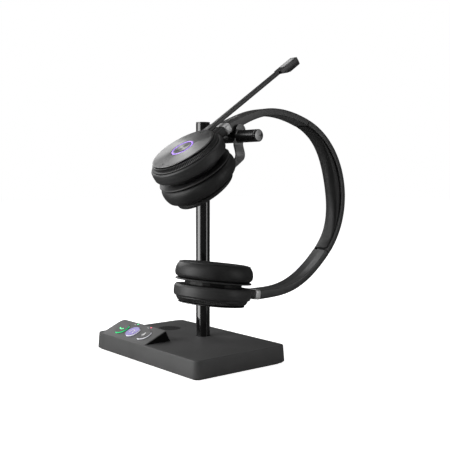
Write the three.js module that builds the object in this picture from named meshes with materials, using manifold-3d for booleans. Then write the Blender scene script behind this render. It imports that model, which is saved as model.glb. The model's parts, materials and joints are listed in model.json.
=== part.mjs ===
// Wireless office headset hanging on its charging stand.
// Millimetres, +Z up. The origin is the centre of the stand's underside, +X runs along the stand's long
// front edge, +Y points to the back. The headband's C lies in a plane parallel to YZ, with its crown at +Y.
import * as THREE from 'three';
import { mergeVertices } from 'three/addons/utils/BufferGeometryUtils.js';
import Module from 'manifold-3d';

const wasm = await Module();
wasm.setup();

const DEG = Math.PI / 180;
const GAP = 0.3;                     // clearance between neighbouring pieces

// ---------- driving dimensions: stand ----------
const BASE = { width: 144, depth: 91.6, top: 15.3, bottom: 1.9, corner: 7, wall: 2.2, draft: 0.8 };
const PAD = { inset: 3.2, height: 0.8 };
const PLATE = { inset: 2.6, bottom: 1.1, top: 3.1 };
const WEDGE = { left: -64.9, right: 2, peakY: -22.9, peakZ: 24.72, heelY: -19.5, toeY: -45.4, toeZ: 15.0,
  corner: 5 };
const KEY = { radius: 5.7, well: 6.55, light: [6, 6.4], height: 5, proud: 1.2, xs: [-47.6, -30.5, -13.5], y: -34.8 };
const LED = { radius: 0.9, xs: [-38.1, -18.1], y: -24.6 };
const GRILLE = { x: -43.6, y: 12.5, radius: 9.5, pitch: 3.4, hole: 0.7 };
const POST = { x: 0.1, y: 16.2, radius: 5.95, bore: 4.8, bottom: 7.8, top: 196.4, capTop: 197.4 };
const ARM = { z: 183.2, radius: 5, bore: 3.8, boreStart: 17, end: 70 };
// The saddle on the arm that the headset's slider rests on; its top leans with the slider.
const SADDLE = { from: 32.8, to: 45.6, half: 3.6, rise: 6.6, lean: 0.48, footHalf: 1.6 };
const BRACKET = { thickness: 1.5, width: 9.5, neck: 5, top: 193.2, tabX: 50, collarZ: 139, collarHeight: 8 };
const BALLAST = { left: -20, right: 60, front: -12, back: 38, bottom: 3.4, top: 7.4 };
const BOARD = { left: -64, right: -9, front: -40, back: 36, bottom: 7.8, top: 9.4 };

// ---------- driving dimensions: headset ----------
const HEADSET = { x: 39, y: 28, z: 123.6, tilt: 12 * DEG, width: 16 };
const CROWN = { centre: 45.1, radius: 72.2, plate: 1.8, lip: 5.4, lipWall: 1.5, halfAngle: 57 * DEG };
const CROWN_PAD = { outer: 66.4, rim: 1.2, swell: 8, halfAngle: 48 * DEG, width: 15.4 };
const SLIDER = { startAngle: 57.8 * DEG, startThickness: 5, endThickness: 7.6, handleStart: 48,
  handleEnd: 26, endTangent: 10 * DEG };
const TONGUE = { inner: 68, outer: 69.7, width: 11, from: 34 * DEG, to: 60 * DEG };
// An ear cup's own frame: +Z points away from the ear, Z = 0 is the outer face, +Y points to the headband.
const CUP = {
  left: { u: -50.2, v: 61.4, tilt: 22.8 * DEG },
  right: { u: -48.3, v: 66.2, tilt: 19.2 * DEG },
};
const NECK = { z: -9.8, width: 14, height: 7.9, start: 29.2, end: 39.3 };
const RING = { width: 16.6, height: 8.2, start: 39.6, end: 44.8 };
const PIN = { radius: 2.3, hole: 2.6, start: 34, end: 54 };
// Depths below a cup's outer face: the lip that the cushion hooks over, and the cushion's ear side. roll and tier are
// the radii of its main roll and of its raised face, and lean is how much deeper it hangs on its free side.
const CUSHION = {
  left: { lip: -21, rim: -40.4, roll: 31.9, tier: 25.4, lean: 2.3 },
  right: { lip: -19.6, rim: -33.2, roll: 31.6, tier: 28.4, lean: 0 },
};
const BOOM = { rootY: 27, lugEnd: 35.4, headStart: 120.9, width: 4.8, rootTop: -0.8, rootBottom: -4, endTop: -1.15,
  endBottom: -4.35 };
const MIC = { width: 8.4, tip: 145.6, top: -1.2, bottom: -8.2, pocketStart: 128, pocketEnd: 143 };

// ---------- materials ----------
const paint = (color, roughness, metalness = 0) => new THREE.MeshStandardMaterial({ color, roughness, metalness });
const charcoal = paint(0x2b2c2e, 0.55);
const black = paint(0x101011, 0.6);
const glossBlack = paint(0x0c0c0d, 0.18);
const leather = paint(0x1a1a1b, 0.5);
const rubber = paint(0x161616, 0.85);
const silver = paint(0xb9babd, 0.3, 0.9);
const spunMetal = paint(0x5c5d60, 0.28, 0.9);
const steel = paint(0x8d8f92, 0.4, 0.9);
const board = paint(0x14532d, 0.6);
const glow = (color) => paint(color, 0.35);

// ---------- solids ----------
// Merges shared corners, drops collapsed triangles and turns the faces outwards.
function closed(geometry) {
  const bare = geometry.clone();
  for (const name of Object.keys(bare.attributes)) {
    if (name !== 'position') bare.deleteAttribute(name);
  }
  const merged = mergeVertices(bare, 1e-4);
  const position = merged.attributes.position;
  const index = [];
  let volume = 0;
  const [a, b, c] = [new THREE.Vector3(), new THREE.Vector3(), new THREE.Vector3()];
  for (let i = 0; i < merged.index.count; i += 3) {
    const tri = [0, 1, 2].map((k) => merged.index.getX(i + k));
    if (tri[0] === tri[1] || tri[1] === tri[2] || tri[0] === tri[2]) continue;
    index.push(...tri);
    a.fromBufferAttribute(position, tri[0]);
    b.fromBufferAttribute(position, tri[1]);
    c.fromBufferAttribute(position, tri[2]);
    volume += a.dot(b.cross(c));
  }
  if (volume < 0) index.reverse();
  merged.setIndex(index);
  merged.computeVertexNormals();
  return merged;
}

function solidOf(geometry) {
  const ready = closed(geometry);
  return new wasm.Manifold(new wasm.Mesh({
    numProp: 3,
    vertProperties: new Float32Array(ready.attributes.position.array),
    triVerts: new Uint32Array(ready.index.array),
  }));
}

function geometryOf(solid) {
  const mesh = solid.getMesh();
  const geometry = new THREE.BufferGeometry();
  geometry.setAttribute('position', new THREE.BufferAttribute(new Float32Array(mesh.vertProperties), 3));
  geometry.setIndex([...mesh.triVerts]);
  geometry.computeVertexNormals();
  return geometry;
}

const join = (first, ...others) => geometryOf(others.reduce((sum, g) => sum.add(solidOf(g)), solidOf(first)));
const cut = (first, ...others) => geometryOf(others.reduce((rest, g) => rest.subtract(solidOf(g)), solidOf(first)));
const overlap = (first, second) => geometryOf(solidOf(first).intersect(solidOf(second)));

// ---------- basic forms ----------
function block(x0, x1, y0, y1, z0, z1) {
  return new THREE.BoxGeometry(x1 - x0, y1 - y0, z1 - z0)
    .translate((x0 + x1) / 2, (y0 + y1) / 2, (z0 + z1) / 2);
}

// A closed (radius, height) profile turned about the Z axis.
function turned(profile, segments = 24) {
  const points = [...profile, profile[0]].map(([r, z]) => new THREE.Vector2(r, z));
  return closed(new THREE.LatheGeometry(points, segments).rotateX(Math.PI / 2));
}

const rodZ = (radius, z0, z1, segments = 20) =>
  turned([[0, z0], [radius, z0], [radius, z1], [0, z1]], segments);
const rodX = (radius, x0, x1, segments = 20) => rodZ(radius, x0, x1, segments).rotateY(Math.PI / 2);
const rodY = (radius, y0, y1, segments = 12) => rodZ(radius, -y1, -y0, segments).rotateX(Math.PI / 2);

function outline(points) {
  const shape = new THREE.Shape();
  points.forEach(([x, y], i) => (i ? shape.lineTo(x, y) : shape.moveTo(x, y)));
  return shape;
}

function roundedRectangle(width, height, radius, steps = 3) {
  const points = [];
  for (const [sx, sy, turn] of [[1, 1, 0], [-1, 1, 90], [-1, -1, 180], [1, -1, 270]]) {
    for (let i = 0; i <= steps; i++) {
      const angle = (turn + (90 * i) / steps) * DEG;
      points.push([sx * (width / 2 - radius) + radius * Math.cos(angle),
        sy * (height / 2 - radius) + radius * Math.sin(angle)]);
    }
  }
  return points;
}

// A rounded rectangle whose size changes with height: levels are [z, inset].
function tieredBox(width, depth, radius, levels, steps = 4) {
  const rings = levels.map(([z, inset]) =>
    roundedRectangle(width - 2 * inset, depth - 2 * inset, radius - inset, steps).map(([x, y]) => [x, y, z]));
  const count = rings[0].length;
  const vertices = rings.flat(2);
  const index = [];
  for (let level = 0; level + 1 < rings.length; level++) {
    for (let i = 0; i < count; i++) {
      const [a, b] = [level * count + i, level * count + ((i + 1) % count)];
      index.push(a, b, b + count, a, b + count, a + count);
    }
  }
  const last = (rings.length - 1) * count;
  for (let i = 1; i + 1 < count; i++) {
    index.push(0, i + 1, i, last, last + i, last + i + 1);
  }
  const geometry = new THREE.BufferGeometry();
  geometry.setAttribute('position', new THREE.Float32BufferAttribute(vertices, 3));
  geometry.setIndex(index);
  return closed(geometry);
}

// A (y, z) outline made `width` wide along X, about x = 0.
function slab(points, width) {
  const toYZ = new THREE.Matrix4().makeBasis(new THREE.Vector3(0, 1, 0), new THREE.Vector3(0, 0, 1),
    new THREE.Vector3(1, 0, 0));
  return new THREE.ExtrudeGeometry(outline(points), { depth: width, bevelEnabled: false })
    .translate(0, 0, -width / 2)
    .applyMatrix4(toYZ);
}

// A rounded rectangle in XZ, centred at height z, made long along Y from y0 to y1.
function sleeve(width, height, radius, z, y0, y1) {
  return new THREE.ExtrudeGeometry(outline(roundedRectangle(width, height, radius)),
    { depth: y1 - y0, bevelEnabled: false })
    .rotateX(Math.PI / 2)
    .translate(0, y1, z);
}

const arc = (cx, cy, radius, from, to, steps) => Array.from({ length: steps + 1 }, (_, i) => {
  const angle = from + ((to - from) * i) / steps;
  return [cx + radius * Math.cos(angle), cy + radius * Math.sin(angle)];
});

function place(group, name, geometry, material) {
  const mesh = new THREE.Mesh(closed(geometry), material);
  mesh.name = name;
  group.add(mesh);
  return mesh;
}

// ---------- stand: base ----------
const model = new THREE.Group();
const stand = new THREE.Group();
model.add(stand);

const slope = Math.atan2(WEDGE.peakZ - WEDGE.toeZ, WEDGE.peakY - WEDGE.toeY);
const slopeZ = (y) => WEDGE.toeZ + (y - WEDGE.toeY) * Math.tan(slope);

// Puts a piece whose +Z is the wedge's outward direction on the sloped face.
function onSlope(geometry, x, y) {
  return geometry.rotateX(slope).translate(x, y, slopeZ(y));
}

// The wedge's (y, z) section, moved inwards by `inset` and dropped to `floor`.
function wedgeSection(inset, floor) {
  const shift = inset / Math.cos(slope);
  return [[WEDGE.toeY + inset * 1.5, floor], [WEDGE.toeY + inset * 1.5, slopeZ(WEDGE.toeY + inset * 1.5) - shift],
    [WEDGE.peakY - inset * 0.4, slopeZ(WEDGE.peakY - inset * 0.4) - shift], [WEDGE.heelY - inset, BASE.top - 2],
    [WEDGE.heelY - inset, floor]];
}

// The wedge's plan has one rounded corner, at its back left.
function wedgePlan(inset) {
  const [left, back, radius] = [WEDGE.left + inset, WEDGE.heelY - inset, WEDGE.corner - inset];
  return [[left, WEDGE.toeY - 5], [WEDGE.right, WEDGE.toeY - 5], [WEDGE.right, back],
    ...arc(left + radius, back - radius, radius, Math.PI / 2, Math.PI, 5)];
}

function wedgeBody(inset, floor) {
  const width = WEDGE.right - WEDGE.left - 2 * inset;
  const body = slab(wedgeSection(inset, floor), width).translate((WEDGE.left + WEDGE.right) / 2, 0, 0);
  return overlap(body, new THREE.ExtrudeGeometry(outline(wedgePlan(inset)), { depth: 60, bevelEnabled: false }));
}

// The metal sleeve of the socket in the back wall.
const SOCKET = { x: -30, z: 8.2, width: 9.2, height: 3.6, corner: 1.6, wall: 0.6, depth: 7 };
const BACK = BASE.depth / 2;

function baseShell() {
  const levels = [[BASE.bottom, -BASE.draft], [BASE.top - 1.2, -0.05], [BASE.top - 0.4, 0.25], [BASE.top, 0.9]];
  const body = tieredBox(BASE.width, BASE.depth, BASE.corner, levels);
  const hollow = tieredBox(BASE.width, BASE.depth, BASE.corner,
    [[BASE.bottom - 1, BASE.wall], [BASE.top - BASE.wall, BASE.wall]]);
  const socket = sleeve(SOCKET.width + 2 * GAP, SOCKET.height + 2 * GAP, SOCKET.corner + GAP, SOCKET.z,
    BACK - 4, BACK + 2).translate(SOCKET.x, 0, 0);
  const wells = KEY.xs.map((x) => onSlope(rodZ(KEY.well, -9, 2), x, KEY.y));
  const pipes = LED.xs.map((x) => onSlope(rodZ(LED.radius + 0.2, -6, 2, 12), x, LED.y));
  return cut(join(body, wedgeBody(0, BASE.top - 4)), hollow, wedgeBody(BASE.wall, BASE.top - 4.5),
    rodZ(POST.radius + GAP, 10, 20).translate(POST.x, POST.y, 0),
    rodZ(GRILLE.radius + GAP, 10, 20).translate(GRILLE.x, GRILLE.y, 0),
    socket, ...wells, ...pipes);
}

function speakerGrille() {
  const disc = rodZ(GRILLE.radius, BASE.top - 1.6, BASE.top - 0.1, 24);
  const holes = [];
  for (let ring = 0; ring <= 2; ring++) {
    const count = ring ? ring * 6 : 1;
    for (let i = 0; i < count; i++) {
      const angle = (2 * Math.PI * i) / count;
      holes.push(rodZ(GRILLE.hole, 10, 20, 6)
        .translate(ring * GRILLE.pitch * Math.cos(angle), ring * GRILLE.pitch * Math.sin(angle), 0));
    }
  }
  return cut(disc, ...holes).translate(GRILLE.x, GRILLE.y, 0);
}

place(stand, 'base_shell', baseShell(), charcoal);
place(stand, 'base_bottom_plate', cut(
  tieredBox(BASE.width, BASE.depth, BASE.corner, [[PLATE.bottom, PLATE.inset], [PLATE.top, PLATE.inset]]),
  rodZ(4.4, 0, 5).translate(POST.x, POST.y, 0)), black);
place(stand, 'antislip_pad',
  tieredBox(BASE.width, BASE.depth, BASE.corner, [[0, PAD.inset], [PAD.height, PAD.inset]]), rubber);
place(stand, 'ballast_plate', cut(
  block(BALLAST.left, BALLAST.right, BALLAST.front, BALLAST.back, BALLAST.bottom, BALLAST.top),
  rodZ(2.3, 0, 10, 16).translate(POST.x, POST.y, 0), rodZ(4.2, 0, 5.9).translate(POST.x, POST.y, 0)), steel);
place(stand, 'base_circuit_board',
  block(BOARD.left, BOARD.right, BOARD.front, BOARD.back, BOARD.bottom, BOARD.top), board);
place(stand, 'ringer_speaker', turned([[0, 9.8], [5, 9.8], [5, 11.2], [8.6, 11.6], [8.6, 12.8], [0, 12.8]], 14)
  .translate(GRILLE.x, GRILLE.y, 0), black);
place(stand, 'speaker_grille', speakerGrille(), black);

const KEY_NAMES = ['call_key', 'headset_key', 'mute_key'];
const KEY_LIGHTS = [0x3fd47f, 0xe8e6ff, 0xe4e4e4];
KEY.xs.forEach((x, i) => {
  const cap = turned([[0, -KEY.height], [3, -KEY.height], [3, -2], [KEY.radius, -2], [KEY.radius, KEY.proud - 0.3],
    [KEY.radius - 0.5, KEY.proud], [0, KEY.proud - 0.2]], 22);
  const [inner, outer] = KEY.light;
  const light = turned([[inner, -1.2], [outer, -1.2], [outer, 0.9], [inner, 0.9]], 28);
  place(stand, KEY_NAMES[i], onSlope(cap, x, KEY.y), i === 1 ? glow(0x7d6bd6) : charcoal);
  place(stand, `${KEY_NAMES[i]}_light`, onSlope(light, x, KEY.y), glow(KEY_LIGHTS[i]));
});
LED.xs.forEach((x, i) => {
  place(stand, i ? 'mute_led_pipe' : 'call_led_pipe',
    onSlope(rodZ(LED.radius, -3.2, 0.1, 12), x, LED.y), glow(i ? 0xe05050 : 0x3fd47f));
});
place(stand, 'usb_socket', cut(
  sleeve(SOCKET.width, SOCKET.height, SOCKET.corner, SOCKET.z, BACK - SOCKET.depth, BACK),
  sleeve(SOCKET.width - 2 * SOCKET.wall, SOCKET.height - 2 * SOCKET.wall, SOCKET.corner - SOCKET.wall, SOCKET.z,
    BACK - SOCKET.depth + 1, BACK + 1)).translate(SOCKET.x, 0, 0), steel);

// ---------- stand: post, arm and bracket ----------
const atPost = (geometry) => geometry.translate(POST.x, POST.y, 0);
place(stand, 'post_tube', cut(
  atPost(cut(rodZ(POST.radius, POST.bottom, POST.top, 24), rodZ(POST.bore, 0, 300))),
  rodX(2.4, 0, 12, 16).translate(0, POST.y, ARM.z)), glossBlack);
place(stand, 'post_top_cap', atPost(turned([[0, POST.top - 5], [POST.bore - GAP, POST.top - 5],
  [POST.bore - GAP, POST.top + GAP], [POST.radius, POST.top + GAP], [POST.radius, POST.capTop - 0.3],
  [POST.radius - 0.3, POST.capTop], [0, POST.capTop]], 24)), glossBlack);
place(stand, 'post_foot_insert', atPost(turned([[2.2, POST.bottom], [POST.bore - GAP, POST.bottom],
  [POST.bore - GAP, POST.bottom + 12], [2.2, POST.bottom + 12]], 12)), steel);
place(stand, 'post_bolt', atPost(turned([[0, 3.6], [3.9, 3.6], [3.9, 5.6], [1.9, 5.6], [1.9, 17], [0, 17]], 12)),
  steel);

// The bent plate: an upright tab through the arm, then a strip that bows out and leans back to the post.
function bracketPath() {
  const x = BRACKET.tabX;
  const bow = new THREE.CatmullRomCurve3([[x - 1.6, 181], [x - 3.8, 177.5], [x - 2, 173], [x - 0.7, 169.5],
    [x - 0.9, 166.8], [x - 2.6, 164.3]].map(([px, pz]) => new THREE.Vector3(px, 0, pz)));
  const bowPoints = bow.getPoints(14).map((p) => [p.x, p.z]);
  return [[x, BRACKET.top], [x, 186], ...bowPoints, [POST.x + POST.radius + 1, BRACKET.collarZ + 3]];
}

// A polyline given thickness: the outline runs down one side and back up the other.
function ribbon(path, thickness) {
  const side = (sign) => path.map(([x, y], i) => {
    const [x0, y0] = path[Math.max(i - 1, 0)];
    const [x1, y1] = path[Math.min(i + 1, path.length - 1)];
    const length = Math.hypot(x1 - x0, y1 - y0);
    return [x + (sign * thickness * (y1 - y0)) / (2 * length), y - (sign * thickness * (x1 - x0)) / (2 * length)];
  });
  return [...side(1), ...side(-1).reverse()];
}

const bracketPlate = (thickness, width) =>
  new THREE.ExtrudeGeometry(outline(ribbon(bracketPath(), thickness)), { depth: width, bevelEnabled: false })
    .rotateX(Math.PI / 2).translate(0, POST.y + width / 2, 0);
const tabCutter = slab([...arc(0, BRACKET.top - 5.6, 5.6, 0, Math.PI, 14), [-5.6, 120], [5.6, 120]], 120)
  .translate(30, POST.y, 0);
const collar = atPost(rodZ(POST.radius + 1.9, BRACKET.collarZ, BRACKET.collarZ + BRACKET.collarHeight, 24));
const atArm = (geometry) => geometry.translate(0, POST.y, ARM.z);
// Inside the arm the plate narrows to a neck, which fills a slot in the tube.
const shoulders = cut(atArm(rodX(ARM.radius + GAP, 40, 60, 32)),
  block(35, 65, POST.y - BRACKET.neck / 2, POST.y + BRACKET.neck / 2, ARM.z - 9, ARM.z + 9));
place(stand, 'hook_bracket', cut(
  join(overlap(bracketPlate(BRACKET.thickness, BRACKET.width), tabCutter), collar),
  shoulders, atPost(rodZ(POST.radius + GAP, 100, 200, 24))), glossBlack);

// The saddle's foot drops through a slot in the tube.
const saddleFoot = (grow) => block(SADDLE.from + 1.2 - grow, SADDLE.to - 1.2 + grow, -SADDLE.footHalf - grow,
  SADDLE.footHalf + grow, grow ? 2 : 2.6, grow ? 9 : 6);
place(stand, 'arm_tube', cut(atArm(rodX(ARM.radius, 0, ARM.end, 24)),
  atPost(rodZ(POST.radius + GAP, 100, 250, 24)), atArm(rodX(ARM.bore, ARM.boreStart, ARM.end + 5, 24)),
  atArm(rodX(2.3, 0, ARM.boreStart + 1, 16)), bracketPlate(BRACKET.thickness + 2 * GAP, BRACKET.neck + 2 * GAP),
  atArm(saddleFoot(GAP))), glossBlack);
place(stand, 'arm_stud', atArm(turned([[0, 0.6], [2.8, 0.6], [2.8, 3.4], [2, 3.4], [2, 15], [0, 15]], 16)
  .rotateY(Math.PI / 2)), steel);
place(stand, 'arm_end_cap', atArm(turned([[0, 64], [ARM.bore - GAP, 64], [ARM.bore - GAP, ARM.end + GAP],
  [ARM.radius, ARM.end + GAP], [ARM.radius, ARM.end + 1], [ARM.radius - 1.3, ARM.end + 2.1], [0, ARM.end + 2.1]], 24)
  .rotateY(Math.PI / 2)), spunMetal);

function saddle() {
  const { from, to, half, rise, lean } = SADDLE;
  const start = Math.acos(half / (ARM.radius + GAP));
  const top = slab([[-half, rise - lean * half], ...arc(0, 0, ARM.radius + GAP, Math.PI - start, start, 8),
    [half, rise + lean * half]], to - from).translate((from + to) / 2, 0, 0);
  return join(top, saddleFoot(0));
}
place(stand, 'charging_saddle', atArm(saddle()), black);

// ---------- headset: crown ----------
const headset = new THREE.Group();
headset.position.set(HEADSET.x, HEADSET.y, HEADSET.z);
headset.rotation.x = HEADSET.tilt;
model.add(headset);

const sector = (inner, outer, half, steps) => [...arc(CROWN.centre, 0, outer, -half, half, steps),
  ...arc(CROWN.centre, 0, inner, half, -half, steps)];
place(headset, 'crown_shell', cut(
  slab(sector(CROWN.radius - CROWN.lip, CROWN.radius, CROWN.halfAngle, 24), HEADSET.width),
  slab(sector(CROWN.radius - CROWN.lip - 3, CROWN.radius - CROWN.plate, CROWN.halfAngle + 0.1, 24),
    HEADSET.width - 2 * CROWN.lipWall)), charcoal);
place(headset, 'crown_spring_band', slab(sector(69.5, 70.1, 33 * DEG, 14), TONGUE.width), steel);
place(headset, 'crown_inner_plate', slab(sector(67.1, 67.7, 55.5 * DEG, 18), 12.4), black);

// The pad is thickest at the crown's middle and thins out towards both ends.
function crownPadSection() {
  const { halfAngle, outer, rim, swell } = CROWN_PAD;
  const steps = 20;
  const inner = Array.from({ length: steps + 1 }, (_, i) => {
    const angle = halfAngle * (1 - (2 * i) / steps);
    const radius = outer - rim - swell * Math.cos((angle / halfAngle) * (Math.PI / 2)) ** 2;
    return [CROWN.centre + radius * Math.cos(angle), radius * Math.sin(angle)];
  });
  return [...arc(CROWN.centre, 0, outer, -halfAngle, halfAngle, steps), ...inner];
}
place(headset, 'crown_pad', slab(crownPadSection(), CROWN_PAD.width), leather);

// ---------- headset: one half, built in (x, u, v) and turned over for the other side ----------
// The point of the half's (u, v) plane at a cup frame's (y, z).
const cupPoint = ({ u, v, tilt }, y, z) => [u + y * Math.cos(tilt) - z * Math.sin(tilt),
  v + y * Math.sin(tilt) + z * Math.cos(tilt)];

function sliderSection(cup) {
  const start = SLIDER.startAngle;
  const [u0, v0] = [CROWN.centre + CROWN.radius * Math.cos(start), CROWN.radius * Math.sin(start)];
  const [u3, v3] = cupPoint(cup, RING.end + GAP, NECK.z + SLIDER.endThickness / 2);
  const curve = new THREE.CubicBezierCurve(new THREE.Vector2(u0, v0),
    new THREE.Vector2(u0 - SLIDER.handleStart * Math.sin(start), v0 + SLIDER.handleStart * Math.cos(start)),
    new THREE.Vector2(u3 + SLIDER.handleEnd * Math.cos(SLIDER.endTangent),
      v3 + SLIDER.handleEnd * Math.sin(SLIDER.endTangent)), new THREE.Vector2(u3, v3));
  const steps = 16;
  const outer = [];
  const inner = [];
  for (let i = 0; i <= steps; i++) {
    const t = i / steps;
    const point = curve.getPoint(t);
    const tangent = curve.getTangent(t);
    const grow = SLIDER.endThickness - SLIDER.startThickness;
    const thickness = SLIDER.startThickness + grow * t ** 1.2;
    outer.push([point.x, point.y]);
    inner.push([point.x - tangent.y * thickness, point.y + tangent.x * thickness]);
  }
  inner[steps] = cupPoint(cup, RING.end + GAP, NECK.z - SLIDER.endThickness / 2);
  return [...outer, ...inner.reverse()];
}

// Places a cup-frame piece in its half.
function cupGroup(half, { u, v, tilt }) {
  const group = new THREE.Group();
  group.position.set(0, u, v);
  group.rotation.x = tilt;
  half.add(group);
  return group;
}

const pinHole = () => rodY(PIN.hole, PIN.start - 0.6, PIN.end + 0.6).translate(0, 0, NECK.z);

function sliderArm(cup) {
  const blade = slab(sliderSection(cup), HEADSET.width);
  const tongue = slab([...arc(CROWN.centre, 0, TONGUE.outer, TONGUE.from, TONGUE.to, 8),
    ...arc(CROWN.centre, 0, TONGUE.inner, TONGUE.to, TONGUE.from, 8)], TONGUE.width);
  return cut(join(blade, tongue), pinHole().rotateX(cup.tilt).translate(0, cup.u, cup.v));
}

function housing() {
  const bowl = turned([[20.5, -14.9], [30.2, -14.9], [31, -13.7], [31.1, -10], [30.9, -6.9], [30.1, -5.6],
    [28.6, -5.6], [28.6, -13.3], [20.5, -13.3]], 32);
  return cut(join(bowl, sleeve(NECK.width, NECK.height, 2.4, NECK.z, NECK.start, NECK.end)), pinHole());
}

const KNURL = [[24.3, -5.3], [29, -5.3], [28.9, -4.8], [27.4, -2.2], [26.9, -2], [24.3, -2]];

// A main roll with a raised tier on its ear side; each point is a radius and a share of the depth.
function cushion(top, { rim, roll, tier, lean }) {
  const section = [[16.3, 0], [28.4, 0], [roll - 0.6, 0.13], [roll, 0.36], [roll - 0.7, 0.63],
    [(roll + tier) / 2 - 0.8, 0.82], [tier + 0.7, 0.83], [tier, 0.93], [tier - 2.8, 1], [18.4, 0.96], [15.8, 0.59]];
  const ring = turned(section.map(([radius, share]) => [radius, top + (rim - top) * share]), 30);
  const places = ring.attributes.position;
  for (let i = 0; i < places.count; i++) {
    const share = Math.max(0, (places.getZ(i) - top) / (rim - top));
    const side = (places.getX(i) + places.getY(i)) / (roll * Math.SQRT2);
    places.setZ(i, places.getZ(i) + lean * share ** 2 * side);
  }
  return ring;
}

for (const side of ['left', 'right']) {
  const half = new THREE.Group();
  half.rotation.y = side === 'left' ? 0 : Math.PI;
  headset.add(half);
  const cup = cupGroup(half, CUP[side]);
  const name = (piece) => `${side}_${piece}`;

  place(half, name('slider_arm'), sliderArm(CUP[side]), charcoal);
  place(cup, name('trim_ring'), cut(sleeve(RING.width, RING.height, 2.4, NECK.z, RING.start, RING.end),
    pinHole()), silver);
  place(cup, name('swivel_pin'), rodY(PIN.radius, PIN.start, PIN.end).translate(0, 0, NECK.z), steel);
  place(cup, name('ear_housing'), housing(), charcoal);
  const { lip } = CUSHION[side];
  const mount = lip + 1.6;
  place(cup, name('cushion_mount'), turned([[19.8, mount], [23, mount], [23, -15.2], [19.8, -15.2]], 24), black);
  place(cup, name('lip_plate'), turned([[14, lip], [30.2, lip], [30.8, lip + 0.6], [30.4, lip + 1.3],
    [14, lip + 1.3]], 30), charcoal);
  place(cup, name('speaker_driver'), turned([[0, mount], [19.3, mount], [19.3, mount + 1.4], [10, mount + 3],
    [10, -12], [0, -12]], 18), black);
  place(cup, name('speaker_cover'), turned([[0, lip - 0.9], [15.4, lip - 0.9], [15.4, lip - GAP],
    [0, lip - GAP]], 20), rubber);
  place(cup, name('ear_cushion'), cushion(lip - GAP, CUSHION[side]), leather);

  if (side === 'right') {
    place(cup, 'right_knurled_ring', turned(KNURL, 32), black);
    place(cup, 'right_outer_disc', turned([[0, -1.4], [26, -1.4], [26.7, -0.8], [26.6, -0.2], [26.2, 0],
      [0, 0.35]], 32), spunMetal);
    place(cup, 'battery', block(-17, 17, -11, 11, -10.6, -5.6), steel);
    continue;
  }
  place(cup, 'keypad_carrier', join(
    turned([[22.4, -13], [23.9, -13], [23.9, -2.3], [9.9, -2.3], [9.9, -3.2], [22.4, -3.2]], 24),
    block(12, 20, -0.6, 0.6, -2.8, -1.5), block(-20, -12, -0.6, 0.6, -2.8, -1.5)), black);
  place(cup, 'headset_circuit_board', turned([[0, -9.4], [21.8, -9.4], [21.8, -8], [0, -8]], 20), board);
  place(cup, 'volume_rocker_disc', turned([[9.7, -1.2], [26, -1.2], [26.7, -0.7], [26.6, -0.2], [26.2, 0],
    [9.7, 0.3]], 32), spunMetal);
  place(cup, 'button_light_ring', turned([[8.3, -2.6], [9.4, -2.6], [9.4, 0.35], [8.3, 0.35]], 24),
    glow(0x8a5ae0));
  place(cup, 'answer_button', turned([[0, -6.6], [2.5, -6.6], [2.5, -2.4], [8, -2.4], [8, 0.1], [7.6, 0.35],
    [0, 0.35]], 22), spunMetal);

  // ---------- boom ----------
  const stemZ = (BOOM.rootTop + BOOM.rootBottom) / 2;
  const stem = (radius, start) => rodY(radius, start, 40, 12).translate(0, 0, stemZ);
  const lug = sleeve(8, 3.7, 1.4, stemZ, BOOM.rootY, BOOM.lugEnd);
  place(cup, 'boom_ring', cut(join(turned(KNURL, 32), lug), stem(1.3, 29.5)), black);
  place(cup, 'boom_arm', join(slab([[BOOM.lugEnd + GAP, BOOM.rootBottom], [BOOM.headStart, BOOM.endBottom],
    [BOOM.headStart, BOOM.endTop], [BOOM.lugEnd + GAP, BOOM.rootTop]], BOOM.width), stem(1, 30)), black);

  const neck = BOOM.headStart + GAP;
  const headSection = [[neck, BOOM.endBottom], [128, MIC.bottom + 1], [131.6, MIC.bottom],
    [MIC.tip - 0.9, MIC.bottom], [MIC.tip, MIC.bottom + 0.7], [MIC.tip - 0.3, MIC.top], [neck, BOOM.endTop]];
  place(cup, 'mic_head', cut(slab(headSection, MIC.width),
    sleeve(5.6, 6.4, 0.8, MIC.top - 2.1, MIC.pocketStart, MIC.pocketEnd)), black);
  place(cup, 'mic_grille', sleeve(5, 1, 0.4, MIC.top - 0.7, MIC.pocketStart + GAP, MIC.pocketEnd - GAP), silver);
  place(cup, 'mic_capsule', rodY(1.5, 133, 138, 14).translate(0, 0, MIC.top - 3.2), steel);
}

export default model;
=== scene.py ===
import json
import math

import bmesh
import bpy
from mathutils import Matrix, Vector


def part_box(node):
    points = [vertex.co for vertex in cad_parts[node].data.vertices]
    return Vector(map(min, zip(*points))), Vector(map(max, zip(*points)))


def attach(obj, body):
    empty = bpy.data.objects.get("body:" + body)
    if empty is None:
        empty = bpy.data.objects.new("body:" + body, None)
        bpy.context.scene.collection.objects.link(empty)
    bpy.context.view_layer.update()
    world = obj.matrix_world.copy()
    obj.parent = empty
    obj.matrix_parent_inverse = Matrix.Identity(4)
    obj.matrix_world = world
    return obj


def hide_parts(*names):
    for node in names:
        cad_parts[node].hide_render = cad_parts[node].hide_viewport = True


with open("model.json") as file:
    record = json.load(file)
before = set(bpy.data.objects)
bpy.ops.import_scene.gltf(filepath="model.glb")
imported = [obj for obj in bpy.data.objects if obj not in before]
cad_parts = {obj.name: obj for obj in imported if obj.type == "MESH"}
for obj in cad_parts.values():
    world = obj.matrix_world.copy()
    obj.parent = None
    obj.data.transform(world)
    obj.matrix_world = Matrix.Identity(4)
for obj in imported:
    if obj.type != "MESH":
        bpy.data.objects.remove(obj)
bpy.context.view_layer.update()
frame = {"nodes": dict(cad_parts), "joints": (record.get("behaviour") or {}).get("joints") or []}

# A wireless headset on its charging stand. Shapes are given in millimetres in the frame of the piece they
# belong to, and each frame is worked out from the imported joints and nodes.
MM = 0.001
DEG = math.pi / 180
X = Vector((1, 0, 0))
ROW = Matrix.Identity(4)
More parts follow.
